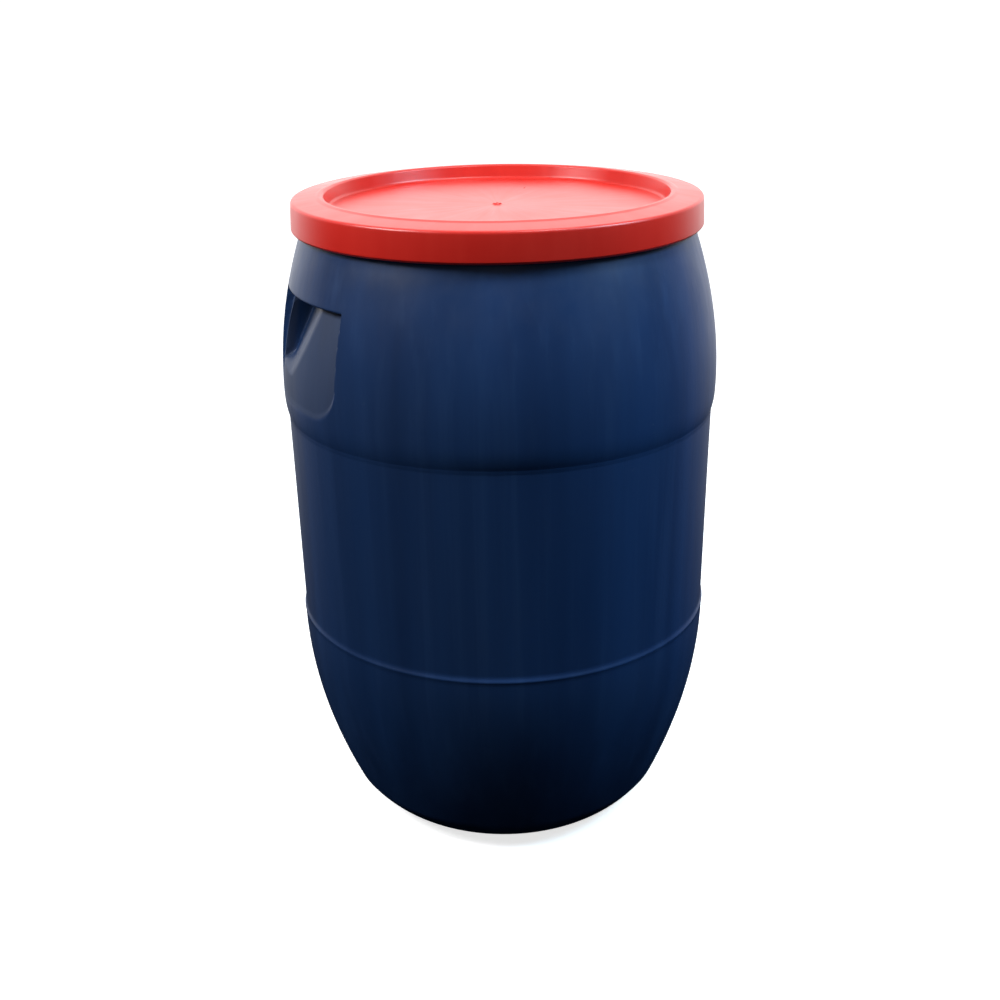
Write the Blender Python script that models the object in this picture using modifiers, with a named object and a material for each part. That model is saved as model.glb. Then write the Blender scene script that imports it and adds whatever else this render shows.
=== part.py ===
# Open head plastic drum, 60 litre class: a blow-moulded body with two recessed
# hand-holds, a press-on lid with a sunken top, and the lid's seal.
# Metres, +Z up, origin at the centre of the drum's base, hand-holds on +X and -X.
import math

import bmesh
import bpy

# ---------------------------------------------------------------- dimensions
SEGMENTS = 56              # flats around every turned piece

WALL = 0.0032              # body wall
BASE_FLAT_IN = 0.100       # standing ring, inner and outer radius
BASE_FLAT_OUT = 0.1225
BASE_DISH = 0.010          # height of the pushed-up centre of the base
BASE_DISH_R = 0.086

BOWL_R = 0.1973            # widest radius of the lower bowl
BOWL_TOP_Z = 0.2085        # ledge at the top of the bowl
BOWL_SQUEEZE = 0.272       # how far the parabola draws the bowl in at the base
HEEL_Z = 0.029             # where the bowl turns into the heel

WAIST_LOW_R = 0.1962       # nearly straight middle wall
WAIST_HIGH_R = 0.1987
STEP_Z = 0.4050            # crease where the belly rolls in to the waist
BELLY_R = 0.2019           # widest radius of the whole drum
BELLY_Z = 0.4330
BELLY_DRAW = 1.34          # 1/m, draws the shoulder in towards the neck
BELLY_ROLL = 0.0030        # how far the belly rolls in above the crease
BELLY_ROLL_POWER = 3.0
NECK_Z = 0.5700
NECK_R = 0.1765
RIM_R = 0.1795             # mouth rim
RIM_LOW_Z = 0.5765
RIM_TOP_Z = 0.5910
MOUTH_R = 0.1700

# hand-holds: a shallow panel that gets deeper upwards, with a deep pocket in it
PANEL_HALF_W = 0.0700
PANEL_TOP_Z = 0.5225
PANEL_LOW_Z = 0.4250
PANEL_DEEP = 0.0093
PANEL_SHALLOW = 0.0008
PANEL_POWER = 1.6
PANEL_CORNER_LOW = 0.0340
PANEL_CORNER_TOP = 0.0040
# the pocket's faces, placed where they cross the plane x = POCKET_REF_X; "in" is
# how far a face moves for each metre towards the drum's axis
POCKET_REF_X = 0.2000
POCKET_FRONT_X = 0.2150
POCKET_BACK_X = 0.1560
POCKET_TOP_Z = 0.5212      # level ceiling
POCKET_LIP_Z = 0.4525      # floor, level along its lip
POCKET_LIP_IN = 0.49
POCKET_FAR_Y = 0.0600      # upright side
POCKET_FAR_IN = 0.12
POCKET_RAMP_Z = 0.4613     # slanted side, at y = 0
POCKET_RAMP_SLOPE = 0.6627
POCKET_RAMP_IN = 1.948
POCKET_ROUND = 0.0030

# lid
LID_BOTTOM_Z = 0.5710
LID_R = 0.1850
LID_TOP_R = 0.1838
LID_EDGE_Z = 0.5980        # outer edge of the sloping top band
LID_EDGE_R = 0.1788
LID_RIM_Z = 0.6010         # raised inner rim
LID_RIM_R = 0.1580
LID_RECESS_R = 0.1525
LID_FLOOR_Z = 0.5880
LID_WALL = 0.0026
LID_GATE_R = 0.0040
LID_GATE_H = 0.0012

# seal
SEAL_IN_R = 0.1712
SEAL_OUT_R = 0.1785
SEAL_LOW_Z = RIM_TOP_Z + 0.0003
SEAL_TOP_Z = 0.5946


# ------------------------------------------------------------ clear the file
for old in list(bpy.data.objects):
    bpy.data.objects.remove(old, do_unlink=True)

parts = bpy.data.collections.new("plastic_open_head_drum")
cutters = bpy.data.collections.new("cutters")
bpy.context.scene.collection.children.link(parts)
bpy.context.scene.collection.children.link(cutters)


# ------------------------------------------------------------------- helpers
def material(name, colour, roughness):
    mat = bpy.data.materials.new(name)
    mat.use_nodes = True
    shader = mat.node_tree.nodes["Principled BSDF"]
    shader.inputs["Base Color"].default_value = (*colour, 1.0)
    shader.inputs["Roughness"].default_value = roughness
    shader.inputs["Metallic"].default_value = 0.0
    return mat


def turned(name, profile, collection, closed=False):
    """A profile of (radius, height) points, outer side first from the top down,
    turned about Z with a Screw modifier."""
    mesh = bpy.data.meshes.new(name)
    edges = [(i, i + 1) for i in range(len(profile) - 1)]
    if closed:
        edges.append((len(profile) - 1, 0))
    mesh.from_pydata([(r, 0.0, z) for r, z in profile], edges, [])
    obj = bpy.data.objects.new(name, mesh)
    collection.objects.link(obj)
    screw = obj.modifiers.new("turn", "SCREW")
    screw.axis = "Z"
    screw.angle = math.tau
    screw.steps = SEGMENTS
    screw.render_steps = SEGMENTS
    screw.use_merge_vertices = True
    screw.merge_threshold = 0.00005
    screw.use_smooth_shade = True
    return obj


def cut(obj, cutter, name):
    mod = obj.modifiers.new(name, "BOOLEAN")
    mod.operation = "DIFFERENCE"
    mod.solver = "EXACT"
    mod.object = cutter
    return mod


def as_cutter(obj):
    obj.hide_render = True
    obj.display_type = "WIRE"
    return obj


def opposite(obj, name):
    """The same shape mirrored to the drum's other side, across the plane x = 0."""
    mesh = obj.data.copy()
    for vert in mesh.vertices:
        vert.co.x = -vert.co.x
    mesh.flip_normals()
    twin = bpy.data.objects.new(name, mesh)
    cutters.objects.link(twin)
    return as_cutter(twin)


def bake(obj, sharp_deg=32.0):
    """Put the evaluated modifiers into the object's own mesh."""
    bpy.context.view_layer.update()
    graph = bpy.context.evaluated_depsgraph_get()
    mesh = bpy.data.meshes.new_from_object(obj.evaluated_get(graph))
    obj.modifiers.clear()
    obj.data = mesh
    mesh.shade_smooth()
    mesh.set_sharp_from_angle(angle=math.radians(sharp_deg))
    return obj


def steps(a, b, n):
    return [a + (b - a) * i / n for i in range(n + 1)]


def bezier(p0, p1, p2, n):
    return [tuple((1 - t) ** 2 * a + 2 * t * (1 - t) * b + t * t * c
                  for a, b, c in zip(p0, p1, p2)) for t in steps(0.0, 1.0, n)]


# -------------------------------------------------------------- body profile
def bowl_r(z):
    return BOWL_R * (1.0 - BOWL_SQUEEZE * ((BOWL_TOP_Z - z) / BOWL_TOP_Z) ** 2)


def waist_r(z):
    t = (z - BOWL_TOP_Z) / (STEP_Z - BOWL_TOP_Z)
    return WAIST_LOW_R + (WAIST_HIGH_R - WAIST_LOW_R) * t


def belly_r(z):
    if z < BELLY_Z:
        t = (BELLY_Z - z) / (BELLY_Z - STEP_Z)
        return BELLY_R - BELLY_ROLL * t ** BELLY_ROLL_POWER
    return BELLY_R - BELLY_DRAW * (z - BELLY_Z) ** 2


def side(offset, rows_bowl, rows_belly):
    """The drum's side from the neck down to the heel, moved in by offset."""
    pts = [(belly_r(z) - offset * 1.02, z)
           for z in steps(NECK_Z - 0.003, BELLY_Z, rows_belly)]
    pts += [(belly_r(z) - offset, z)
            for z in steps(BELLY_Z, STEP_Z + 0.0006, 3)[1:]]
    pts += [(waist_r(STEP_Z) - offset, STEP_Z - 0.0010)]
    pts += [(waist_r(BOWL_TOP_Z) - offset, BOWL_TOP_Z + 0.0045)]
    pts += [(bowl_r(z) - offset * 1.04, z)
            for z in steps(BOWL_TOP_Z - 0.0015, HEEL_Z, rows_bowl)]
    return pts


def outer_profile():
    pts = [(0.0, RIM_TOP_Z), (MOUTH_R + 0.0006, RIM_TOP_Z),
           (RIM_R - 0.0012, RIM_TOP_Z), (RIM_R, RIM_TOP_Z - 0.0012),
           (RIM_R, RIM_LOW_Z), (NECK_R, NECK_Z)]
    pts += side(0.0, 9, 8)
    heel = bezier(pts[-1], (0.1395, 0.0030), (BASE_FLAT_OUT, 0.0), 4)[1:]
    pts += heel
    pts += [(BASE_FLAT_IN, 0.0), (BASE_DISH_R, BASE_DISH), (0.0, BASE_DISH)]
    return pts


def inner_profile():
    pts = [(0.0, RIM_TOP_Z + 0.030), (MOUTH_R, RIM_TOP_Z + 0.030),
           (MOUTH_R, NECK_Z + 0.004)]
    pts += side(WALL, 6, 5)
    start = pts[-1]
    heel = bezier(start, (0.1376, WALL + 0.0027),
                  (BASE_FLAT_OUT - 0.001, WALL), 3)[1:]
    pts += heel
    pts += [(BASE_FLAT_IN + 0.0012, WALL), (BASE_DISH_R + 0.0012, BASE_DISH + WALL),
            (0.0, BASE_DISH + WALL)]
    return pts


# ------------------------------------------------------------- hand-hold cut
def panel_depth(z):
    t = (z - PANEL_LOW_Z) / (PANEL_TOP_Z - PANEL_LOW_Z)
    t = max(0.0, min(1.0, t)) ** PANEL_POWER
    return PANEL_SHALLOW + (PANEL_DEEP - PANEL_SHALLOW) * t


def panel_outline(grow):
    """Rounded outline in (y, z): wide round lower corners, tight upper ones."""
    w = PANEL_HALF_W + grow
    top, low = PANEL_TOP_Z + grow, PANEL_LOW_Z - grow
    pts = []
    for cy, cz, r, a0 in ((w, top, PANEL_CORNER_TOP, 0.0),
                          (-w, top, PANEL_CORNER_TOP, 90.0),
                          (-w, low, PANEL_CORNER_LOW, 180.0),
                          (w, low, PANEL_CORNER_LOW, 270.0)):
        sy = 1.0 if cy > 0 else -1.0
        sz = 1.0 if cz == top else -1.0
        n = 1 if r < 0.01 else 5
        for a in steps(a0, a0 + 90.0, n):
            pts.append((cy - sy * r + r * math.cos(math.radians(a)),
                        cz - sz * r + r * math.sin(math.radians(a))))
    return pts


def panel_cutter(name, grow):
    """The outline pushed through the wall along X, less everything inside the
    panel's own turned surface."""
    curve = bpy.data.curves.new(name, "CURVE")
    curve.dimensions = "2D"
    curve.fill_mode = "BOTH"
    curve.extrude = 0.035
    outline = panel_outline(grow)
    spline = curve.splines.new("POLY")
    spline.points.add(len(outline) - 1)
    for point, (y, z) in zip(spline.points, outline):
        point.co = (y, z, 0.0, 1.0)
    spline.use_cyclic_u = True
    tmp = bpy.data.objects.new(name + "_outline", curve)
    # the outline's plane is turned upright, facing +X
    tmp.rotation_euler = (math.pi / 2, 0.0, math.pi / 2)
    tmp.location = (0.185, 0.0, 0.0)
    cutters.objects.link(tmp)
    bpy.context.view_layer.update()
    graph = bpy.context.evaluated_depsgraph_get()
    mesh = bpy.data.meshes.new_from_object(tmp.evaluated_get(graph))
    bm = bmesh.new()
    bm.from_mesh(mesh)
    bm.transform(tmp.matrix_world)
    bmesh.ops.remove_doubles(bm, verts=bm.verts, dist=0.00002)
    bmesh.ops.recalc_face_normals(bm, faces=bm.faces)
    bm.to_mesh(mesh)
    bm.free()
    bpy.data.objects.remove(tmp, do_unlink=True)
    prism = bpy.data.objects.new(name, mesh)
    cutters.objects.link(prism)

    z_hi, z_lo = PANEL_TOP_Z + 0.012, PANEL_LOW_Z - 0.012
    rows = [(belly_r(z) - panel_depth(z) - grow, z) for z in steps(z_hi, z_lo, 7)]
    core = turned(name + "_core", [(0.0, z_hi)] + rows + [(0.0, z_lo)], cutters)
    cut(prism, core, "panel surface")
    bake(prism)
    bpy.data.objects.remove(core, do_unlink=True)
    return as_cutter(prism)


def pocket_faces():
    """(point, outward normal) of the pocket's five inner faces."""
    ref = POCKET_REF_X
    return (((ref, 0.0, POCKET_TOP_Z), (0.0, 0.0, 1.0)),
            ((ref, POCKET_FAR_Y, 0.0), (-POCKET_FAR_IN, 1.0, 0.0)),
            ((ref, 0.0, POCKET_LIP_Z), (-POCKET_LIP_IN, 0.0, -1.0)),
            ((ref, 0.0, POCKET_RAMP_Z), (-POCKET_RAMP_IN, -POCKET_RAMP_SLOPE, -1.0)),
            ((POCKET_BACK_X, 0.0, 0.0), (-1.0, 0.0, 0.0)))


def pocket_cutter(name, grow):
    """A block trimmed by the pocket's faces, each moved out by grow, its inner
    edges rounded."""
    front = POCKET_FRONT_X + (0.001 if grow else 0.0)
    bm = bmesh.new()
    bmesh.ops.create_cube(bm, size=1.0)
    for vert in bm.verts:
        vert.co = (front + (vert.co.x - 0.5) * 0.12, vert.co.y * 0.40,
                   0.48 + vert.co.z * 0.30)
    for point, normal in pocket_faces():
        length = math.sqrt(sum(c * c for c in normal))
        unit = [c / length for c in normal]
        moved = [c + grow * n for c, n in zip(point, unit)]
        made = bmesh.ops.bisect_plane(bm, geom=bm.verts[:] + bm.edges[:] + bm.faces[:],
                                      dist=0.000001, plane_co=moved, plane_no=unit,
                                      clear_outer=True)
        rim = [e for e in made["geom_cut"] if isinstance(e, bmesh.types.BMEdge)]
        bmesh.ops.contextual_create(bm, geom=rim)
    bmesh.ops.recalc_face_normals(bm, faces=bm.faces)
    inner_edges = [e for e in bm.edges
                   if min(e.verts[0].co.x, e.verts[1].co.x) < front - 0.001]
    bmesh.ops.bevel(bm, geom=inner_edges, offset=POCKET_ROUND + grow * 0.5,
                    segments=2, profile=0.5, affect="EDGES", clamp_overlap=True)
    mesh = bpy.data.meshes.new(name)
    bm.to_mesh(mesh)
    bm.free()
    obj = bpy.data.objects.new(name, mesh)
    cutters.objects.link(obj)
    return as_cutter(obj)


# ----------------------------------------------------------------- the pieces
def build_body():
    body = turned("drum_body", outer_profile(), parts)
    cavity = as_cutter(turned("cavity", inner_profile(), cutters))

    panel = panel_cutter("panel_cut_a", 0.0)
    pocket = pocket_cutter("pocket_cut_a", 0.0)
    panel_wall = panel_cutter("panel_wall_a", WALL)
    pocket_wall = pocket_cutter("pocket_wall_a", WALL)
    for tool, label in ((panel_wall, "panel_wall_b"), (pocket_wall, "pocket_wall_b")):
        cut(cavity, tool, tool.name)
        cut(cavity, opposite(tool, label), label)
    for tool, label in ((panel, "panel_cut_b"), (pocket, "pocket_cut_b")):
        cut(body, tool, tool.name)
        cut(body, opposite(tool, label), label)
    cut(body, cavity, "cavity")
    bake(body)
    body.data.materials.clear()
    body.data.materials.append(material("body_blue_plastic", (0.014, 0.040, 0.115), 0.42))
    return body


def lid_profile():
    w = LID_WALL
    corner = bezier((LID_EDGE_R, LID_EDGE_Z), (LID_TOP_R, LID_EDGE_Z - 0.0004),
                    (LID_TOP_R + 0.0001, LID_EDGE_Z - 0.0060), 3)
    top = [(LID_RIM_R - 0.0022, LID_RIM_Z - 0.0006), (LID_RIM_R, LID_RIM_Z),
           (LID_RIM_R + 0.0020, LID_RIM_Z - 0.0004)]
    foot = [(LID_R, LID_BOTTOM_Z + 0.0035), (LID_R - 0.0012, LID_BOTTOM_Z),
            (LID_R - w, LID_BOTTOM_Z)]
    # a small retaining bead inside the skirt, below the mouth rim
    bead_z = RIM_LOW_Z - 0.0022
    bead = [(LID_R - w - 0.0004, bead_z - 0.0016),
            (LID_R - w - 0.0020, bead_z),
            (LID_R - w - 0.0006, bead_z + 0.0016)]
    roof = [(LID_TOP_R - w, LID_EDGE_Z - 0.0042),
            (LID_EDGE_R - 0.0010, LID_EDGE_Z - w),
            (LID_RIM_R + 0.0028, LID_RIM_Z - w - 0.0010)]
    under = [(LID_RECESS_R + w, LID_FLOOR_Z - w + 0.0016),
             (LID_RECESS_R - 0.0006, LID_FLOOR_Z - w), (0.0, LID_FLOOR_Z - w)]
    plate = [(0.0, LID_FLOOR_Z + LID_GATE_H), (LID_GATE_R, LID_FLOOR_Z + LID_GATE_H),
             (LID_GATE_R + 0.0012, LID_FLOOR_Z),
             (LID_RECESS_R - 0.0016, LID_FLOOR_Z),
             (LID_RECESS_R, LID_FLOOR_Z + 0.0016)]
    return plate + top + corner + foot + bead + roof + under


def build_lid():
    lid = turned("lid", lid_profile(), parts)
    bake(lid)
    lid.data.materials.clear()
    lid.data.materials.append(material("lid_red_plastic", (0.62, 0.022, 0.014), 0.34))
    return lid


def build_seal():
    r0, r1, z0, z1 = SEAL_IN_R, SEAL_OUT_R, SEAL_LOW_Z, SEAL_TOP_Z
    b = 0.0008
    ring = [(r0 + b, z1), (r1 - b, z1), (r1, z1 - b), (r1, z0 + b),
            (r1 - b, z0), (r0 + b, z0), (r0, z0 + b), (r0, z1 - b)]
    seal = turned("lid_gasket", ring, parts, closed=True)
    bake(seal)
    seal.data.materials.clear()
    seal.data.materials.append(material("seal_black_rubber", (0.02, 0.02, 0.022), 0.7))
    return seal


build_body()
lid = build_lid()
seal = build_seal()

# the lid and its seal lift straight off the mouth; their lift axis is Z
lift = bpy.data.objects.new("lid_lift_axis", None)
lift.location = (0.0, 0.0, LID_BOTTOM_Z)
parts.objects.link(lift)
bpy.context.view_layer.update()
for piece in (lid, seal):
    piece.parent = lift
    piece.matrix_parent_inverse = lift.matrix_world.inverted()
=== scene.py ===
import math

import bpy
import bmesh
import numpy as np
from mathutils import Matrix, Vector


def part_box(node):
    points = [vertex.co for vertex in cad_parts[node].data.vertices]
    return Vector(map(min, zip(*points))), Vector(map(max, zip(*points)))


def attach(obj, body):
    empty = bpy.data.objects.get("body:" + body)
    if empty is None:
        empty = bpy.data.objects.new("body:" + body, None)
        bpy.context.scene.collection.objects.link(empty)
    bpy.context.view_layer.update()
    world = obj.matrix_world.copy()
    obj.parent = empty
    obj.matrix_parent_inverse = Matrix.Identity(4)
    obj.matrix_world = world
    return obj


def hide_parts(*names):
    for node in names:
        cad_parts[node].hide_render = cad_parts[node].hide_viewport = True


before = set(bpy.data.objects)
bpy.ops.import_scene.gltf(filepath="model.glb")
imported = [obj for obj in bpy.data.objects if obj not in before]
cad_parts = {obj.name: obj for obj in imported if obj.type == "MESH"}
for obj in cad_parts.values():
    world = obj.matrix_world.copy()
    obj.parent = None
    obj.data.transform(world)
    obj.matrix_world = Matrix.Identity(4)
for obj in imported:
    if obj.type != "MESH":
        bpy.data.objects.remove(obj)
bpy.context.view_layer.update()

# ------------------------------------------------------------------ from the frame
body_low, body_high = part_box("drum_body")
lid_low, lid_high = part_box("lid")
seal_low, seal_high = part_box("lid_gasket")

BELLY_R = max(body_high.x, body_high.y)   # widest radius
RIM_TOP = body_high.z          # top of the mouth rim
LID_R = lid_high.x
LID_LOW = lid_low.z
LID_TOP = lid_high.z
WALL = 0.0032

# ------------------------------------------------------------------ profile numbers
RIM_R = 0.1795
MOUTH_R = 0.1700
RIM_LOW = RIM_TOP - 0.0145
NECK_R, NECK_Z = 0.1765, 0.5700
BELLY_Z, BELLY_DRAW = 0.4330, 1.34
STEP_Z = 0.4050
ROLL, ROLL_POWER = 0.0030, 3.0
WAIST_HIGH_R, WAIST_LOW_R = 0.1987, 0.1962
LEDGE_Z = 0.2085
BOWL_R, BOWL_SQUEEZE = 0.1973, 0.272
HEEL_Z = 0.029
RING_OUT, RING_IN = 0.1225, 0.1000
DISH_R, DISH_H = 0.086, 0.010

# hand-holds
PANEL_W, PANEL_TOP, PANEL_LOW = 0.0700, 0.5225, 0.4250
PANEL_CORNER = 0.034
PANEL_DEEP, PANEL_SHALLOW, PANEL_POWER = 0.0093, 0.0008, 1.6
# the pocket's faces: where each crosses x = REF_X, and how far it moves per metre inwards
REF_X, POCKET_BACK_X = 0.2000, 0.1560
LIP_Z, LIP_IN = 0.4525, 0.49
FAR_Y, FAR_IN = 0.0600, 0.12
RAMP_Z, RAMP_SLOPE, RAMP_IN = 0.4613, 0.6627, 1.948


def clamp01(t):
    return np.clip(t, 0.0, 1.0)


def smooth(t):
    t = clamp01(t)
    return t * t * (3 - 2 * t)


def smin(a, b, k):
    h = np.maximum(k - np.abs(a - b), 0.0) / k
    return np.minimum(a, b) - h * h * k * 0.25


def smax(a, b, k):
    return -smin(-a, -b, k)


def belly_r(z):
    z = np.asarray(z, float)
    t = np.clip((BELLY_Z - z) / (BELLY_Z - STEP_Z), 0.0, 1.0)
    return np.where(z < BELLY_Z, BELLY_R - ROLL * t ** ROLL_POWER,
                    BELLY_R - BELLY_DRAW * (z - BELLY_Z) ** 2)


def waist_r(z):
    return WAIST_LOW_R + (WAIST_HIGH_R - WAIST_LOW_R) * (z - LEDGE_Z) / (STEP_Z - LEDGE_Z)


def bowl_r(z):
    return BOWL_R * (1.0 - BOWL_SQUEEZE * ((LEDGE_Z - z) / LEDGE_Z) ** 2)


def arc(cx, cz, r, a0, a1, n):
    return [(cx + r * math.cos(math.radians(a0 + (a1 - a0) * i / n)),
             cz + r * math.sin(math.radians(a0 + (a1 - a0) * i / n))) for i in range(n + 1)]


def bezier(p0, p1, p2, n):
    return [tuple((1 - t) ** 2 * a + 2 * t * (1 - t) * b + t * t * c
                  for a, b, c in zip(p0, p1, p2)) for t in (i / n for i in range(n + 1))]


def rounded(points, default_n=5):
    """A polyline of (r, z, corner radius) with its corners turned into arcs."""
    out = []
    for i, p in enumerate(points):
        rad = p[2] if len(p) > 2 else 0.0
        if rad <= 0 or i in (0, len(points) - 1):
            out.append((p[0], p[1]))
            continue
        a = Vector((points[i - 1][0] - p[0], points[i - 1][1] - p[1]))
        b = Vector((points[i + 1][0] - p[0], points[i + 1][1] - p[1]))
        la, lb = a.length, b.length
        a.normalize(), b.normalize()
        ang = math.acos(max(-1, min(1, a.dot(b))))
        d = min(rad / math.tan(ang / 2), 0.48 * la, 0.48 * lb)
        s, e = Vector(p[:2]) + a * d, Vector(p[:2]) + b * d
        out += bezier(tuple(s), tuple(p[:2]), tuple(e), default_n)
    clean = [out[0]]
    for q in out[1:]:
        if math.hypot(q[0] - clean[-1][0], q[1] - clean[-1][1]) > 2e-5:
            clean.append(q)
    return clean


# ------------------------------------------------------------------ body rows
def lower_outer():
    """Waist, ledge, bowl, heel and base, from just under the crease down."""
    pts = []
    for z in np.linspace(STEP_Z - 0.0042, LEDGE_Z + 0.0080, 16):
        pts.append((float(waist_r(z)), float(z)))
    # the ledge: the waist flares out over a few millimetres to a rounded brow
    top, low = LEDGE_Z + 0.0062, LEDGE_Z - 0.0022
    for i in range(0, 15):
        t = i / 14
        z = top + (low - top) * t
        s = t * t * t * (10 - 15 * t + 6 * t * t)
        bead = 0.0006 * math.exp(-((z - LEDGE_Z) / 0.0017) ** 2)
        pts.append((float(waist_r(z) * (1 - s) + (bowl_r(min(z, LEDGE_Z))) * s) + bead, z))
    for z in np.linspace(low - 0.003, HEEL_Z, 46):
        pts.append((float(bowl_r(z)), float(z)))
    heel = bezier(pts[-1], (0.1395, 0.0030), (RING_OUT, 0.0), 16)[1:]
    pts += heel
    pts += rounded([(RING_OUT - 0.001, 0.0), (RING_IN, 0.0, 0.004), (DISH_R, DISH_H, 0.006),
                    (0.060, DISH_H + 0.0), (0.030, DISH_H), (0.010, DISH_H)], 6)[0:]
    return pts


def crease():
    """The belly's rolled lower edge and the crease under it."""
    pts = [(float(belly_r(z)), float(z)) for z in np.linspace(STEP_Z + 0.0105, STEP_Z + 0.0012, 9)]
    pts += bezier((float(belly_r(STEP_Z + 0.0006)), STEP_Z + 0.0005),
                  (float(waist_r(STEP_Z)) + 0.00035, STEP_Z - 0.0006),
                  (float(waist_r(STEP_Z - 0.003)), STEP_Z - 0.0032), 7)
    return pts


def mouth():
    """From inside the mouth, over the rim, to the neck."""
    pts = [(MOUTH_R, RIM_TOP - 0.004)]
    pts += arc(MOUTH_R + 0.0022, RIM_TOP - 0.0022, 0.0022, 180, 90, 6)
    pts += [(MOUTH_R + 0.0050, RIM_TOP)]
    pts += arc(RIM_R - 0.0020, RIM_TOP - 0.0020, 0.0020, 90, 0, 6)
    pts += [(RIM_R, RIM_TOP - 0.0070)]
    pts += rounded([(RIM_R, RIM_TOP - 0.010), (RIM_R, RIM_LOW, 0.0022),
                    (NECK_R + 0.0004, NECK_Z + 0.0012, 0.004),
                    (float(belly_r(0.5610)), 0.5610)], 6)
    return pts


CEIL_LIP = 0.0020
CEIL_FILLET = 0.0040
rows_top = [(float(belly_r(z)), float(z)) for z in np.linspace(0.5590, PANEL_TOP + CEIL_LIP + 0.0008, 12)]
N_LIP, N_FLAT, N_IN = 6, 5, 6
n_ceiling = N_LIP + N_FLAT + N_IN
rows_low = [(float(belly_r(z)), float(z)) for z in np.linspace(PANEL_TOP - 0.0050, STEP_Z + 0.0115, 100)]


# ------------------------------------------------------------------ hand-hold surface
def panel_depth(z):
    t = clamp01((z - PANEL_LOW) / (PANEL_TOP - PANEL_LOW))
    return PANEL_SHALLOW + (PANEL_DEEP - PANEL_SHALLOW) * t ** PANEL_POWER


def hold_x(y, z, R, grow):
    """x of the body surface below the ceiling: the wall, the panel and the pocket."""
    x_out = np.sqrt(np.maximum(R * R - y * y, 1e-9))
    w, low = PANEL_W + grow, PANEL_LOW - grow
    rc = PANEL_CORNER + grow
    qx, qz = np.abs(y) - (w - rc), (low + rc) - z
    d = np.minimum(np.maximum(qx, qz), 0) + np.hypot(np.maximum(qx, 0), np.maximum(qz, 0)) - rc
    s = -d
    down = np.maximum(qz, 0) / np.maximum(np.hypot(np.maximum(qx, 0), np.maximum(qz, 0)), 1e-6)
    down = np.where(qz > 0, down, 0.0)
    width = 0.0030 + 0.0060 * down ** 1.5
    S = smooth((s + 0.0002) / width)
    x_pan = np.sqrt(np.maximum((R - panel_depth(z)) ** 2 - y * y, 1e-9))
    x1 = x_out + (x_pan - x_out) * S
    # each face gives the x it lies at; the pocket reaches in as far as the outermost of them
    floor_x = REF_X - (z + grow * math.hypot(1, LIP_IN) - LIP_Z) / LIP_IN
    ramp_x = REF_X - (z + grow * math.sqrt(1 + RAMP_SLOPE ** 2 + RAMP_IN ** 2)
                      - RAMP_Z + RAMP_SLOPE * y) / RAMP_IN
    far_x = REF_X - (FAR_Y + grow - y) / FAR_IN
    pocket = smax(floor_x, ramp_x, 0.0045)
    pocket = smax(pocket, far_x, 0.016)
    pocket = smax(pocket, np.full_like(pocket, POCKET_BACK_X - grow), 0.008)
    inside = s > -0.004
    x2 = smin(x1, pocket, 0.0019)
    return np.where(inside, x2, x1)


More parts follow.
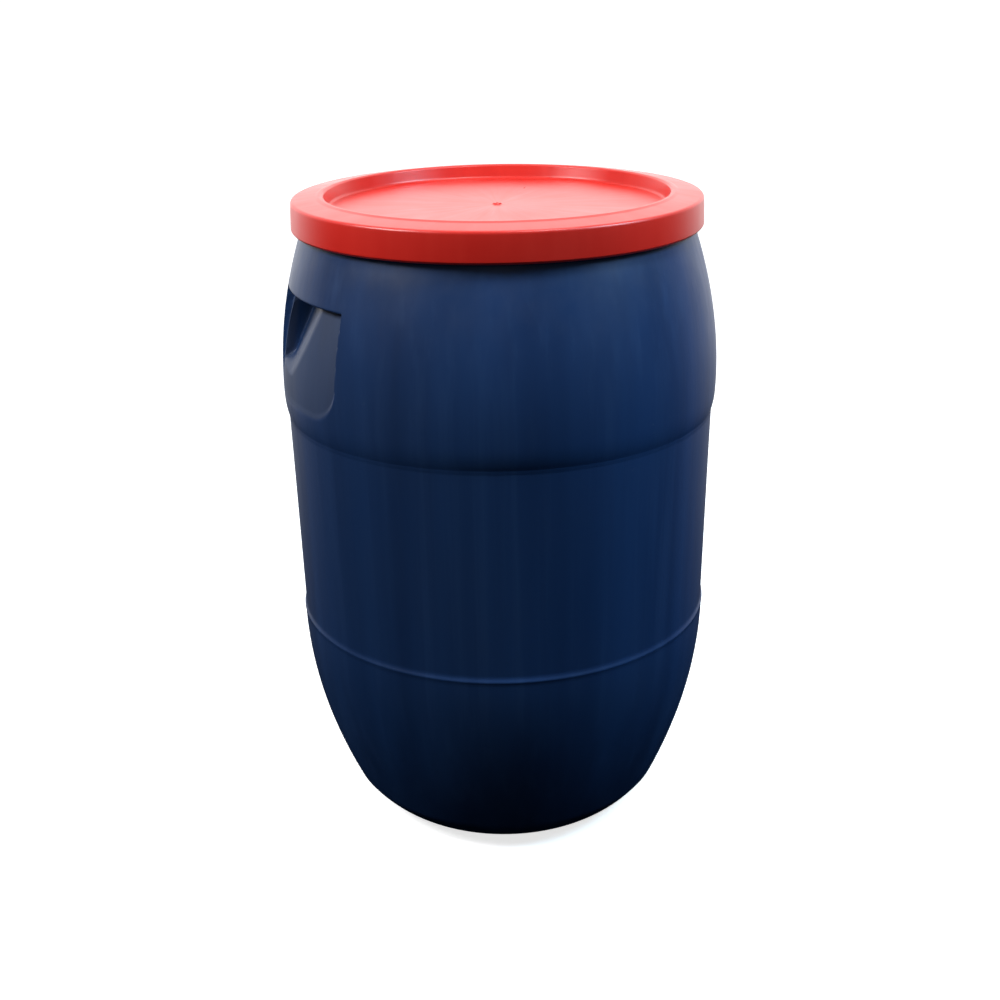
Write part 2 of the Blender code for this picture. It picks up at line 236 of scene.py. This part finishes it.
def build_shell():
    """One closed shell: the outside from the mouth to the base, and the inside back up."""
    # angles: close together across the hand-holds, wider elsewhere
    half = math.asin(min(0.99, (PANEL_W + 0.006) / 0.195))
    steep = np.arcsin(np.linspace(0.0505, 0.0665, 26) / 0.195)
    fine = np.unique(np.concatenate([np.linspace(-half, half, 147), steep, -steep]))
    fine = fine[np.concatenate([[True], np.diff(fine) > 0.0006])]
    fine = 0.5 * (fine - fine[::-1])
    coarse = np.linspace(half, math.pi - half, 46)[1:-1]
    phi = np.concatenate([fine, coarse, fine + math.pi, coarse + math.pi])
    kind = np.concatenate([np.ones(len(fine)), np.zeros(len(coarse)),
                           -np.ones(len(fine)), np.zeros(len(coarse))])
    n = len(phi)
    cos, sin = np.cos(phi), np.sin(phi)
    sign = np.where(kind < 0, -1.0, 1.0)
    rings = []

    def plain(r, z):
        return np.stack([r * cos, r * sin, np.full(n, z)], 1)

    def held(r, z, grow, R_hold):
        base = plain(r, z)
        y = r * sin
        x = hold_x(y, np.full(n, z), np.full(n, R_hold), grow)
        x_plain = np.sqrt(np.maximum(R_hold * R_hold - y * y, 1e-9))
        shift = (x - x_plain) * (kind != 0)
        base[:, 0] += shift * sign
        return base

    def ceiling(grow, offset):
        """The lip over the hand-hold, its level underside, and the turn down into the pocket."""
        top = PANEL_TOP + grow
        out = []
        zl, zi = top + CEIL_LIP, top - CEIL_FILLET
        Rl, Ri = float(belly_r(zl)) - offset, float(belly_r(zi)) - offset
        Rm = float(belly_r(top)) - offset
        yl = Rm * sin
        X_o = np.sqrt(np.maximum(Rl * Rl - yl * yl, 1e-9))
        X_i = hold_x(yl, np.full(n, zi), np.full(n, Ri), grow)
        X_n = np.sqrt(np.maximum(Ri * Ri - yl * yl, 1e-9))
        D = np.maximum(X_n - X_i, 0.0)
        m = smooth(D / 0.0022) * (kind != 0)
        full = X_o - X_i
        rho = np.minimum(CEIL_LIP, 0.45 * full)
        rin = np.minimum(CEIL_FILLET, 0.45 * full)
        total = n_ceiling
        k = 0
        path = []
        for i in range(N_LIP):
            a = math.pi / 2 * i / (N_LIP - 1)
            path.append((X_o - rho * (1 - math.cos(a)), top + rho * (1 - math.sin(a))))
        for i in range(1, N_FLAT + 1):
            t = i / (N_FLAT + 1)
            path.append((X_o - rho + (X_i + rin - X_o + rho) * t, np.full(n, top)))
        for i in range(N_IN):
            a = math.pi / 2 * i / (N_IN - 1)
            path.append((X_i + rin * (1 - math.sin(a)), top - rin * (1 - math.cos(a))))
        for i, (px, pz) in enumerate(path):
            t = i / (total - 1)
            zn = zl + (zi - zl) * t
            Rn = float(belly_r(zn)) - offset
            base = plain(Rn, zn)
            target = np.stack([px * sign, yl, pz], 1)
            out.append(base + (target - base) * m[:, None])
        return out

    # outside
    for r, z in mouth():
        rings.append(plain(r, z))
    for r, z in rows_top:
        rings.append(plain(r, z))
    rings += ceiling(0.0, 0.0)
    for r, z in rows_low:
        rings.append(held(r, z, 0.0, r))
    for r, z in crease():
        rings.append(plain(r, z))
    for r, z in lower_outer():
        rings.append(plain(r, z))
    n_out = len(rings)

    # inside, bottom up
    inner = []
    o = WALL
    inner += [plain(r, z) for r, z in ((0.010, DISH_H + o), (0.040, DISH_H + o))]
    inner += [plain(r, z) for r, z in rounded(
        [(DISH_R - 0.010, DISH_H + o), (DISH_R + 0.0015, DISH_H + o, 0.006),
         (RING_IN + 0.0015, o, 0.004), (RING_OUT - 0.006, o)], 5)]
    hz = HEEL_Z
    inner += [plain(r, z) for r, z in bezier(
        (RING_OUT - 0.001, o), (0.1376, o + 0.0027), (float(bowl_r(hz)) - o * 1.04, hz), 8)]
    for z in np.linspace(hz + 0.006, LEDGE_Z - 0.004, 22):
        inner.append(plain(float(bowl_r(z)) - o * 1.02, float(z)))
    for z in np.linspace(LEDGE_Z + 0.007, STEP_Z - 0.005, 10):
        inner.append(plain(float(waist_r(z)) - o, float(z)))
    g = o
    low_rows = [(float(belly_r(z)) - o, float(z)) for z in
                np.linspace(STEP_Z + 0.002, PANEL_TOP + g - CEIL_FILLET - 0.001, 56)]
    for r, z in low_rows:
        inner.append(held(r, z, g, r))
    inner += list(reversed(ceiling(g, o)))
    for z in np.linspace(PANEL_TOP + g + CEIL_LIP + 0.001, 0.560, 8):
        inner.append(plain(float(belly_r(z)) - o * 1.02, float(z)))
    inner += [plain(r, z) for r, z in rounded(
        [(float(belly_r(0.562)) - o, 0.562), (MOUTH_R + 0.0022, 0.5690, 0.004),
         (MOUTH_R, 0.5740, 0.003), (MOUTH_R, RIM_TOP - 0.006)], 5)[1:]]
    rings += inner

    # a little moulding unevenness, well under a millimetre
    ang = phi
    total = len(rings)
    P = np.stack(rings, 0)
    z = P[:, :, 2]
    wob = (0.00022 * np.sin(2 * ang + 0.7)[None] * np.sin(5.1 * z + 0.4)
           + 0.00013 * np.sin(5 * ang + 2.1)[None] * np.sin(17 * z + 1.3)
           + 0.00008 * np.sin(11 * ang + 0.3)[None] * np.sin(9 * z))
    fade = smooth((z - 0.02) / 0.06) * smooth((0.560 - z) / 0.03)
    rad = np.hypot(P[:, :, 0], P[:, :, 1])
    scale = 1 + (wob - 0.0002) * fade / np.maximum(rad, 0.02)
    P[:, :, 0] *= scale
    P[:, :, 1] *= scale

    verts = P.reshape(-1, 3)
    centre_out = len(verts)
    centre_in = centre_out + 1
    verts = np.vstack([verts, [[0, 0, DISH_H]], [[0, 0, DISH_H + WALL]]])
    faces = []
    for k in range(total):
        if k == n_out - 1:
            continue
        a, b = k * n, ((k + 1) % total) * n
        for i in range(n):
            j = (i + 1) % n
            faces.append((a + i, b + i, b + j, a + j))
    a = (n_out - 1) * n
    faces += [(a + i, centre_out, a + (i + 1) % n) for i in range(n)]
    a = n_out * n
    faces += [(centre_in, a + i, a + (i + 1) % n) for i in range(n)]
    return mesh_object("drum_shell", verts, faces, 34)


def mesh_object(name, verts, faces, sharp=32):
    me = bpy.data.meshes.new(name)
    me.from_pydata([tuple(v) for v in verts], [], faces)
    me.update()
    bm = bmesh.new()
    bm.from_mesh(me)
    bmesh.ops.recalc_face_normals(bm, faces=bm.faces)
    bm.to_mesh(me)
    bm.free()
    me.shade_smooth()
    me.set_sharp_from_angle(angle=math.radians(sharp))
    ob = bpy.data.objects.new(name, me)
    bpy.context.scene.collection.objects.link(ob)
    return ob


def turned(name, profile, n, closed=False, warp=None, sharp=32):
    """A fine turned shape. profile is (r, z); a point at r 0 becomes a pole."""
    ang = np.linspace(0, 2 * math.pi, n, endpoint=False)
    cos, sin = np.cos(ang), np.sin(ang)
    verts, index = [], []
    for r, z in profile:
        if r < 1e-6:
            index.append([len(verts)])
            verts.append((0.0, 0.0, z))
        else:
            index.append(list(range(len(verts), len(verts) + n)))
            ring = np.stack([r * cos, r * sin, np.full(n, z)], 1)
            verts += [tuple(v) for v in ring]
    verts = np.array(verts)
    if warp is not None:
        verts = warp(verts)
    faces = []
    count = len(index)
    for k in range(count if closed else count - 1):
        a, b = index[k], index[(k + 1) % count]
        for i in range(n):
            j = (i + 1) % n
            if len(a) == 1 and len(b) == 1:
                continue
            if len(a) == 1:
                faces.append((a[0], b[i], b[j]))
            elif len(b) == 1:
                faces.append((a[i], b[0], a[j]))
            else:
                faces.append((a[i], b[i], b[j], a[j]))
    return mesh_object(name, verts, faces, sharp)


# ------------------------------------------------------------------ lid
LID_EDGE_Z = LID_TOP - 0.0030
LID_EDGE_R = 0.1788
LID_RIM_R = 0.1580
RECESS_R = 0.1525
PLATE_Z = 0.5880
LW = 0.0026
GATE_R, GATE_H = 0.0042, 0.0013


def lid_profile():
    top = [(0.0, PLATE_Z + GATE_H * 0.55), (0.0011, PLATE_Z + GATE_H * 0.60)]
    top += rounded([(0.0015, PLATE_Z + GATE_H), (0.0034, PLATE_Z + GATE_H, 0.0006),
                    (0.0044, PLATE_Z + 0.0001, 0.0008), (0.0065, PLATE_Z)], 4)
    top += [(float(r), PLATE_Z) for r in np.linspace(0.010, 0.1440, 26)]
    top += rounded([(0.1450, PLATE_Z), (RECESS_R - 0.0004, PLATE_Z + 0.0001, 0.0035),
                    (LID_RIM_R - 0.0032, LID_TOP - 0.0012, 0.0016),
                    (LID_RIM_R - 0.0012, LID_TOP, 0.0014), (LID_RIM_R + 0.0012, LID_TOP, 0.0020),
                    (LID_RIM_R + 0.0042, LID_TOP - 0.0011, 0.0060),
                    (LID_EDGE_R - 0.002, LID_EDGE_Z + 0.0003)], 6)
    top += rounded([(LID_EDGE_R - 0.0008, LID_EDGE_Z + 0.0001), (LID_R - 0.0012, LID_EDGE_Z - 0.0006, 0.0050),
                    (LID_R - 0.0006, LID_EDGE_Z - 0.0100)], 9)
    top += rounded([(LID_R - 0.0004, LID_EDGE_Z - 0.0150), (LID_R, LID_LOW + 0.0020, 0.0016),
                    (LID_R - 0.0018, LID_LOW, 0.0010), (LID_R - LW - 0.0002, LID_LOW, 0.0006),
                    (LID_R - LW - 0.0002, LID_LOW + 0.0020)], 5)
    bz = RIM_LOW - 0.0022
    top += rounded([(LID_R - LW - 0.0003, bz - 0.0022), (LID_R - LW - 0.0021, bz, 0.0014),
                    (LID_R - LW - 0.0006, bz + 0.0022), (LID_R - LW - 0.0012, LID_EDGE_Z - 0.0042, 0.003),
                    (LID_EDGE_R - 0.0010, LID_EDGE_Z - LW, 0.001),
                    (LID_RIM_R + 0.0028, LID_TOP - LW - 0.0010, 0.0016),
                    (RECESS_R + LW, PLATE_Z - LW + 0.0018, 0.0016),
                    (RECESS_R - 0.0010, PLATE_Z - LW, 0.0015), (0.140, PLATE_Z - LW)], 5)
    top += [(float(r), PLATE_Z - LW) for r in (0.110, 0.080, 0.050, 0.020)]
    top += [(0.0, PLATE_Z - LW)]
    return top


def lid_warp(v):
    """The thin plate is very slightly uneven, as moulded lids are."""
    r = np.hypot(v[:, 0], v[:, 1])
    a = np.arctan2(v[:, 1], v[:, 0])
    inner = smooth((0.148 - r) / 0.05)
    dz = (-0.00035 * (1 - (r / 0.15) ** 2) + 0.00022 * np.sin(2 * a + 0.9) * (r / 0.15) ** 2
          + 0.00012 * np.sin(3 * a + 2.2) * (r / 0.15)) * inner
    v = v.copy()
    v[:, 2] += dz
    return v


def seal_profile():
    r0, r1 = 0.1714, seal_high.x - 0.0002
    z0, z1 = seal_low.z + 0.0001, seal_high.z - 0.0001
    mid = (r0 + r1) / 2
    pts = []
    pts += arc(r1 - 0.0010, z1 - 0.0010, 0.0010, 90, 0, 4)
    pts += arc(r1 - 0.0010, z0 + 0.0010, 0.0010, 0, -90, 4)
    pts += [(mid + 0.0012, z0 + 0.00005), (mid + 0.0006, z0 + 0.0005), (mid - 0.0006, z0 + 0.0005),
            (mid - 0.0012, z0 + 0.00005)]
    pts += arc(r0 + 0.0010, z0 + 0.0010, 0.0010, -90, -180, 4)
    pts += arc(r0 + 0.0010, z1 - 0.0010, 0.0010, 180, 90, 4)
    return pts


# ------------------------------------------------------------------ materials
class Nodes:
    def __init__(self, name):
        self.mat = bpy.data.materials.new(name)
        self.mat.use_nodes = True
        self.t = self.mat.node_tree
        self.bsdf = self.t.nodes["Principled BSDF"]

    def add(self, kind, **props):
        node = self.t.nodes.new(kind)
        for k, v in props.items():
            if k == "inputs":
                for name, value in v.items():
                    node.inputs[name].default_value = value
            else:
                setattr(node, k, v)
        return node

    def link(self, a, b):
        self.t.links.new(a, b)

    def noise(self, vector, scale, detail=3.0, rough=0.5, distortion=0.0):
        node = self.add("ShaderNodeTexNoise")
        node.inputs["Scale"].default_value = scale
        node.inputs["Detail"].default_value = detail
        node.inputs["Roughness"].default_value = rough
        node.inputs["Distortion"].default_value = distortion
        self.link(vector, node.inputs["Vector"])
        return node.outputs["Fac"]

    def ramp(self, fac, stops, interp="LINEAR"):
        node = self.add("ShaderNodeMapRange")
        node.interpolation_type = "SMOOTHSTEP" if interp == "SMOOTH" else "LINEAR"
        (a, va), (b, vb) = stops
        node.inputs["From Min"].default_value = a
        node.inputs["From Max"].default_value = b
        node.inputs["To Min"].default_value = va
        node.inputs["To Max"].default_value = vb
        self.link(fac, node.inputs["Value"])
        return node.outputs["Result"]

    def math(self, op, a, b=None, c=None):
        node = self.add("ShaderNodeMath", operation=op)
        for i, v in enumerate((a, b, c)):
            if v is None:
                continue
            if isinstance(v, (int, float)):
                node.inputs[i].default_value = v
            else:
                self.link(v, node.inputs[i])
        return node.outputs[0]

    def mix(self, fac, a, b):
        node = self.add("ShaderNodeMix", data_type="RGBA")
        for sock, v in ((node.inputs["Factor"], fac), (node.inputs["A"], a), (node.inputs["B"], b)):
            if isinstance(v, (int, float)):
                sock.default_value = v
            elif isinstance(v, tuple):
                sock.default_value = (*v, 1.0)
            else:
                self.link(v, sock)
        return node.outputs["Result"]

    def mapped(self, vector, scale=(1, 1, 1), loc=(0, 0, 0)):
        node = self.add("ShaderNodeMapping")
        node.inputs["Scale"].default_value = scale
        node.inputs["Location"].default_value = loc
        self.link(vector, node.inputs["Vector"])
        return node.outputs["Vector"]


def cylinder_coords(m):
    """(angle, radius, height) of the object's own coordinates as a vector."""
    tc = m.add("ShaderNodeTexCoord")
    sep = m.add("ShaderNodeSeparateXYZ")
    m.link(tc.outputs["Object"], sep.inputs[0])
    x, y, z = sep.outputs
    r = m.math("SQRT", m.math("ADD", m.math("MULTIPLY", x, x), m.math("MULTIPLY", y, y)))
    return tc.outputs["Object"], x, y, z, r


def body_material():
    m = Nodes("drum_blue_plastic")
    obj, x, y, z, r = cylinder_coords(m)
    # flow lines: very long up the wall, narrow round it
    streak = m.noise(m.mapped(obj, (95, 95, 1.6)), 1.0, 4.0, 0.6)
    streak_wide = m.noise(m.mapped(obj, (22, 22, 0.9), (3, 1, 0)), 1.0, 3.0, 0.5)
    cloud = m.noise(obj, 9.0, 4.0, 0.55)
    grain = m.noise(obj, 900.0, 2.0, 0.5)
    peel = m.noise(obj, 170.0, 3.0, 0.55)

    deep, mid = (0.0064, 0.0235, 0.080), (0.0104, 0.0365, 0.118)
    col = m.mix(m.ramp(streak_wide, ((0.32, 0.0), (0.70, 1.0))), deep, mid)
    col = m.mix(m.ramp(streak, ((0.52, 0.0), (0.80, 0.30))), col, (0.022, 0.060, 0.165))
    col = m.mix(m.ramp(cloud, ((0.45, 0.0), (0.75, 0.22))), col, (0.010, 0.030, 0.085))
    # handling wear: paler, duller scuffs where the belly, ledge and heel touch things
    near_belly = m.ramp(m.math("ABSOLUTE", m.math("SUBTRACT", z, 0.425)), ((0.010, 1.0), (0.050, 0.0)), "SMOOTH")
    near_ledge = m.ramp(m.math("ABSOLUTE", m.math("SUBTRACT", z, 0.205)), ((0.002, 0.9), (0.012, 0.0)), "SMOOTH")
    near_heel = m.ramp(z, ((0.004, 1.0), (0.040, 0.0)), "SMOOTH")
    where = m.math("MAXIMUM", m.math("MAXIMUM", near_belly, near_ledge), near_heel)
    marks = m.noise(m.mapped(obj, (60, 60, 130)), 1.0, 6.0, 0.72, 0.6)
    marks2 = m.noise(m.mapped(obj, (14, 14, 9), (5, 2, 1)), 1.0, 2.0, 0.5)
    worn = m.math("MULTIPLY", m.ramp(marks, ((0.60, 0.0), (0.74, 1.0))), m.ramp(marks2, ((0.50, 0.0), (0.66, 1.0))))
    worn = m.math("MULTIPLY", worn, where)
    col = m.mix(m.math("MULTIPLY", worn, 0.35), col, (0.10, 0.14, 0.23))
    # dust settles on the upper shoulder and in the hand-holds
    dust = m.math("MULTIPLY", m.ramp(z, ((0.47, 0.0), (0.60, 1.0)), "SMOOTH"),
                  m.ramp(m.noise(obj, 26.0, 5.0, 0.6), ((0.40, 0.0), (0.80, 1.0))))
    col = m.mix(m.math("MULTIPLY", dust, 0.10), col, (0.16, 0.17, 0.20))
    # painted light and painted shade on the hand-holds: the panels are painted paler for the light their upturned
    # faces catch, and made duller; painted shade darkens the pockets
    qy = m.math("MAXIMUM", m.math("SUBTRACT", m.math("ABSOLUTE", y), PANEL_W - PANEL_CORNER), 0.0)
    qz = m.math("MAXIMUM", m.math("SUBTRACT", PANEL_LOW + PANEL_CORNER, z), 0.0)
    corner = m.math("SQRT", m.math("ADD", m.math("MULTIPLY", qy, qy), m.math("MULTIPLY", qz, qz)))
    panel = m.ramp(corner, ((PANEL_CORNER - 0.0045, 1.0), (PANEL_CORNER - 0.0010, 0.0)), "SMOOTH")
    panel = m.math("MULTIPLY", panel, m.ramp(z, ((PANEL_TOP - 0.0006, 1.0), (PANEL_TOP + 0.0008, 0.0)), "SMOOTH"))
    rise = m.math("SUBTRACT", z, BELLY_Z)
    wall_r = m.math("SUBTRACT", BELLY_R, m.math("MULTIPLY", m.math("MULTIPLY", rise, rise), BELLY_DRAW))
    depth = m.math("SUBTRACT", wall_r, r)
    # painted shade mask: the deep inside of each pocket, where shadow falls
    pocket_painted_shade = m.math("MULTIPLY", panel, m.ramp(depth, ((0.0110, 0.0), (0.0230, 1.0)), "SMOOTH"))
    # painted light mask: the shallow panel surface, painted paler where it faces up to the light
    panel_painted_light = m.math("MULTIPLY", panel, m.ramp(depth, ((0.0090, 1.0), (0.0150, 0.0)), "SMOOTH"))
    panel_painted_light = m.math("MULTIPLY", panel_painted_light, m.ramp(marks2, ((0.30, 0.70), (0.65, 1.0))))
    # painted light on the panel, then painted shade in the pocket
    col = m.mix(m.math("MULTIPLY", panel_painted_light, 0.42), col, (0.058, 0.070, 0.098))
    col = m.mix(m.math("MULTIPLY", pocket_painted_shade, 0.60), col, (0.0030, 0.0085, 0.020))
    m.link(col, m.bsdf.inputs["Base Color"])
    rough = m.ramp(cloud, ((0.25, 0.36), (0.75, 0.47)))
    # the painted-light panel area is also made rougher
    rough = m.math("ADD", rough, m.math("MULTIPLY", panel_painted_light, 0.16))
    rough = m.math("ADD", rough, m.ramp(streak, ((0.35, -0.025), (0.75, 0.045))))
    rough = m.math("ADD", rough, m.math("MULTIPLY", worn, 0.14))
    m.link(rough, m.bsdf.inputs["Roughness"])
    height = m.math("MULTIPLY", streak, 0.00022)
    height = m.math("ADD", height, m.math("MULTIPLY", peel, 0.00010))
    height = m.math("ADD", height, m.math("MULTIPLY", grain, 0.00002))
    height = m.math("SUBTRACT", height, m.math("MULTIPLY", worn, 0.00006))
    bump = m.add("ShaderNodeBump")
    bump.inputs["Strength"].default_value = 0.45
    bump.inputs["Distance"].default_value = 1.0
    m.link(height, bump.inputs["Height"])
    m.link(bump.outputs["Normal"], m.bsdf.inputs["Normal"])
    m.bsdf.inputs["IOR"].default_value = 1.50
    m.bsdf.inputs["Specular IOR Level"].default_value = 0.25
    return m.mat


def lid_material():
    m = Nodes("lid_red_plastic")
    obj, x, y, z, r = cylinder_coords(m)
    cloud = m.noise(obj, 11.0, 4.0, 0.55)
    peel = m.noise(obj, 260.0, 3.0, 0.5)
    grain = m.noise(obj, 1100.0, 2.0, 0.5)
    # faint flow marks running out from the gate: noise on the direction, not on the radius
    inv = m.math("DIVIDE", 1.0, m.math("MAXIMUM", r, 0.004))
    ux, uy = m.math("MULTIPLY", x, inv), m.math("MULTIPLY", y, inv)
    comb = m.add("ShaderNodeCombineXYZ")
    m.link(m.math("MULTIPLY", ux, 9.0), comb.inputs[0])
    m.link(m.math("MULTIPLY", uy, 9.0), comb.inputs[1])
    m.link(m.math("MULTIPLY", r, 14.0), comb.inputs[2])
    flow = m.noise(comb.outputs[0], 1.0, 4.0, 0.6)
    col = m.mix(m.ramp(cloud, ((0.3, 0.0), (0.7, 1.0))), (0.560, 0.0140, 0.0085), (0.640, 0.0200, 0.0120))
    col = m.mix(m.ramp(flow, ((0.45, 0.0), (0.80, 0.35))), col, (0.68, 0.030, 0.018))
    scr = m.noise(m.mapped(obj, (700, 9, 30), (0, 2, 0)), 1.0, 2.0, 0.6)
    scr2 = m.noise(m.mapped(obj, (11, 640, 30), (4, 0, 0)), 1.0, 2.0, 0.6)
    fine = m.math("MAXIMUM", m.ramp(scr, ((0.70, 0.0), (0.76, 1.0))), m.ramp(scr2, ((0.70, 0.0), (0.76, 1.0))))
    patches = m.ramp(m.noise(obj, 16.0, 2.0, 0.5), ((0.52, 0.0), (0.68, 1.0)))
    fine = m.math("MULTIPLY", fine, patches)
    col = m.mix(m.math("MULTIPLY", fine, 0.18), col, (0.75, 0.20, 0.18))
    m.link(col, m.bsdf.inputs["Base Color"])
    rough = m.ramp(cloud, ((0.25, 0.27), (0.75, 0.36)))
    rough = m.math("ADD", rough, m.ramp(flow, ((0.3, -0.02), (0.8, 0.05))))
    rough = m.math("ADD", rough, m.math("MULTIPLY", fine, 0.03))
    m.link(rough, m.bsdf.inputs["Roughness"])
    height = m.math("MULTIPLY", peel, 0.00006)
    height = m.math("ADD", height, m.math("MULTIPLY", grain, 0.000012))
    height = m.math("ADD", height, m.math("MULTIPLY", flow, 0.00010))
    bump = m.add("ShaderNodeBump")
    bump.inputs["Strength"].default_value = 0.5
    bump.inputs["Distance"].default_value = 1.0
    m.link(height, bump.inputs["Height"])
    m.link(bump.outputs["Normal"], m.bsdf.inputs["Normal"])
    m.bsdf.inputs["IOR"].default_value = 1.50
    m.bsdf.inputs["Specular IOR Level"].default_value = 0.5
    m.bsdf.inputs["Subsurface Weight"].default_value = 0.0
    return m.mat


def seal_material():
    m = Nodes("seal_black_rubber")
    obj, x, y, z, r = cylinder_coords(m)
    n1 = m.noise(obj, 320.0, 4.0, 0.6)
    n2 = m.noise(obj, 24.0, 3.0, 0.5)
    m.link(m.mix(m.ramp(n2, ((0.3, 0.0), (0.7, 1.0))), (0.014, 0.014, 0.015), (0.028, 0.028, 0.030)),
           m.bsdf.inputs["Base Color"])
    m.link(m.ramp(n1, ((0.3, 0.62), (0.7, 0.82))), m.bsdf.inputs["Roughness"])
    bump = m.add("ShaderNodeBump")
    bump.inputs["Strength"].default_value = 0.5
    bump.inputs["Distance"].default_value = 1.0
    m.link(m.math("MULTIPLY", n1, 0.00010), bump.inputs["Height"])
    m.link(bump.outputs["Normal"], m.bsdf.inputs["Normal"])
    return m.mat


# ------------------------------------------------------------------ pieces
shell = build_shell()
shell.data.materials.append(body_material())
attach(shell, "drum")
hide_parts("drum_body")

lid = turned("lid_moulding", lid_profile(), 288, warp=lid_warp)
lid.data.materials.append(lid_material())
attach(lid, "lid")
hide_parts("lid")

seal = turned("lid_seal_ring", seal_profile(), 192, closed=True)
seal.data.materials.append(seal_material())
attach(seal, "lid")
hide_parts("lid_gasket")

# ------------------------------------------------------------------ camera
AZ = math.radians(-26.0)
UNIT = LID_R
DIST, HIGH, PITCH, ROLL_DEG, FOCAL_PX = 6.53, 1.180, 22.04, 0.95, 1329.0
toward = Vector((math.sin(AZ), -math.cos(AZ), 0.0))
right = Vector((math.cos(AZ), math.sin(AZ), 0.0))
p = math.radians(PITCH)
forward = -toward * math.cos(p) - Vector((0, 0, 1)) * math.sin(p)
up = -toward * math.sin(p) + Vector((0, 0, 1)) * math.cos(p)
basis = Matrix((right, up, -forward)).transposed().to_4x4()
cam_data = bpy.data.cameras.new("camera")
cam = bpy.data.objects.new("camera", cam_data)
bpy.context.scene.collection.objects.link(cam)
cam.matrix_world = (Matrix.Translation(toward * DIST * UNIT + Vector((0, 0, LID_LOW + HIGH * UNIT)))
                    @ basis @ Matrix.Rotation(math.radians(-ROLL_DEG), 4, "Z"))
cam_data.sensor_width = 36.0
cam_data.lens = FOCAL_PX * 36.0 / 1000.0
cam_data.shift_x = -0.0020
cam_data.clip_start, cam_data.clip_end = 0.01, 200.0
bpy.context.scene.camera = cam

# ------------------------------------------------------------------ stage and light
bpy.context.scene.view_settings.view_transform = "Standard"

bm = bmesh.new()
bmesh.ops.create_grid(bm, x_segments=8, y_segments=8, size=90.0)
fm = bpy.data.meshes.new("floor")
bm.to_mesh(fm)
bm.free()
floor = bpy.data.objects.new("floor", fm)
bpy.context.scene.collection.objects.link(floor)
f = Nodes("floor_pale")
f.bsdf.inputs["Base Color"].default_value = (0.86, 0.86, 0.86, 1)
f.bsdf.inputs["Roughness"].default_value = 0.9
f.bsdf.inputs["Specular IOR Level"].default_value = 0.1
f.bsdf.inputs["Emission Color"].default_value = (1.0, 1.0, 1.0, 1)
f.bsdf.inputs["Emission Strength"].default_value = 0.72
fm.materials.append(f.mat)
floor.visible_glossy = False
floor.visible_diffuse = False


def area(name, where, size, power, colour, aim=(0, 0, 0.35), size_y=None):
    data = bpy.data.lights.new(name, "AREA")
    data.shape = "RECTANGLE"
    data.size, data.size_y = size, size_y or size
    data.energy = power
    data.color = colour
    ob = bpy.data.objects.new(name, data)
    bpy.context.scene.collection.objects.link(ob)
    pos = toward * where[1] + right * where[0] + Vector((0, 0, where[2]))
    ob.location = pos
    ob.rotation_mode = "QUATERNION"
    ob.rotation_quaternion = (Vector(aim) - pos).to_track_quat("-Z", "Y")
    return ob


# (right of the camera's line, towards the camera, up)
area("key", (0.62, 0.60, 2.50), 0.50, 20.0, (0.92, 0.96, 1.0))
area("top", (-0.10, -0.35, 2.3), 1.6, 9.0, (1.0, 1.0, 1.0))
area("right", (1.20, 0.40, 1.50), 0.6, 25.0, (0.56, 0.83, 1.0), (0, 0, 0.45))
area("left", (-1.18, 0.52, 1.50), 0.6, 24.0, (0.97, 0.98, 1.0), (0, 0, 0.45))
area("left_rim", (-1.9, -0.7, 1.2), 0.8, 1.0, (1.0, 0.98, 0.96))
area("front", (-0.2, 2.6, 1.9), 1.6, 2.0, (1.0, 0.99, 0.98), (0, 0, 0.55))

world = bpy.data.worlds.new("studio")
bpy.context.scene.world = world
world.use_nodes = True
wt = world.node_tree
wt.nodes.clear()
out = wt.nodes.new("ShaderNodeOutputWorld")
bg_cam = wt.nodes.new("ShaderNodeBackground")
bg_cam.inputs["Color"].default_value = (1, 1, 1, 1)
bg_cam.inputs["Strength"].default_value = 1.0
bg = wt.nodes.new("ShaderNodeBackground")
tc = wt.nodes.new("ShaderNodeTexCoord")
sep = wt.nodes.new("ShaderNodeSeparateXYZ")
wt.links.new(tc.outputs["Generated"], sep.inputs[0])
up_ramp = wt.nodes.new("ShaderNodeMapRange")
up_ramp.interpolation_type = "SMOOTHSTEP"
up_ramp.inputs["From Min"].default_value = -0.48
up_ramp.inputs["From Max"].default_value = 0.02
wt.links.new(sep.outputs["Z"], up_ramp.inputs["Value"])
back = wt.nodes.new("ShaderNodeVectorMath")
back.operation = "DOT_PRODUCT"
back.inputs[1].default_value = tuple(-toward)
wt.links.new(tc.outputs["Generated"], back.inputs[0])
back_ramp = wt.nodes.new("ShaderNodeMapRange")
back_ramp.interpolation_type = "SMOOTHSTEP"
back_ramp.inputs["From Min"].default_value = 0.22
back_ramp.inputs["From Max"].default_value = 0.90
back_ramp.inputs["To Min"].default_value = 0.08
back_ramp.inputs["To Max"].default_value = 1.88
wt.links.new(back.outputs["Value"], back_ramp.inputs["Value"])
mul = wt.nodes.new("ShaderNodeMath")
mul.operation = "MULTIPLY"
wt.links.new(up_ramp.outputs["Result"], mul.inputs[0])
wt.links.new(back_ramp.outputs["Result"], mul.inputs[1])
mul2 = wt.nodes.new("ShaderNodeMath")
mul2.operation = "MULTIPLY"
mul2.inputs[1].default_value = 1.0
wt.links.new(mul.outputs[0], mul2.inputs[0])
wt.links.new(mul2.outputs[0], bg.inputs["Strength"])
bg.inputs["Color"].default_value = (1.0, 1.0, 1.0, 1)
path = wt.nodes.new("ShaderNodeLightPath")
mixw = wt.nodes.new("ShaderNodeMixShader")
wt.links.new(path.outputs["Is Camera Ray"], mixw.inputs[0])
wt.links.new(bg.outputs[0], mixw.inputs[1])
wt.links.new(bg_cam.outputs[0], mixw.inputs[2])
wt.links.new(mixw.outputs[0], out.inputs["Surface"])
